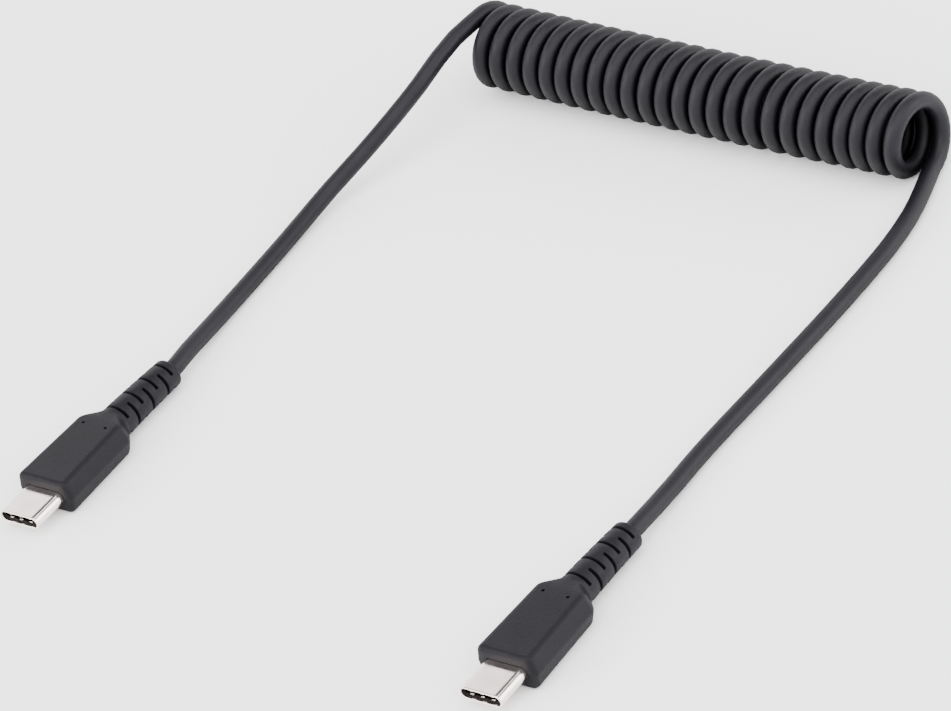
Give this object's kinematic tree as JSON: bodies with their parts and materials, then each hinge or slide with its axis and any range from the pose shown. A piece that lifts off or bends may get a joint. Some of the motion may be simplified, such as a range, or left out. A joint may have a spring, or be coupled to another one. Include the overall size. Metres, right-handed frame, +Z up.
{
  "type": "coiled USB-C cable",
  "caption": "Coiled USB-C cable lying flat, a metal-tipped plug with a slotted bend relief at each end and a close coil in the middle.",
  "frame": {"origin": "on the table, under the middle of the two plugs' footprint", "axes": "+Z up from the table, +Y from the plugs' tips towards the coil, +X from plug A to plug B"},
  "size_m": [0.116, 0.1548, 0.0157],
  "materials": {
    "nickel": "smooth nickel plate with a soft sheen",
    "contact_block": "black, dull",
    "moulding": "black with a fine satin grain",
    "cord_jacket": "dark charcoal, smooth satin"
  },
  "bodies": {
    "root": {"plug_a_shell": "nickel", "plug_a_contact_block": "contact_block", "plug_a_housing": "moulding", "plug_b_shell": "nickel", "plug_b_contact_block": "contact_block", "plug_b_housing": "moulding", "lead_a": "cord_jacket", "coil": "cord_jacket", "lead_b": "cord_jacket"}
  },
  "joints": []
}
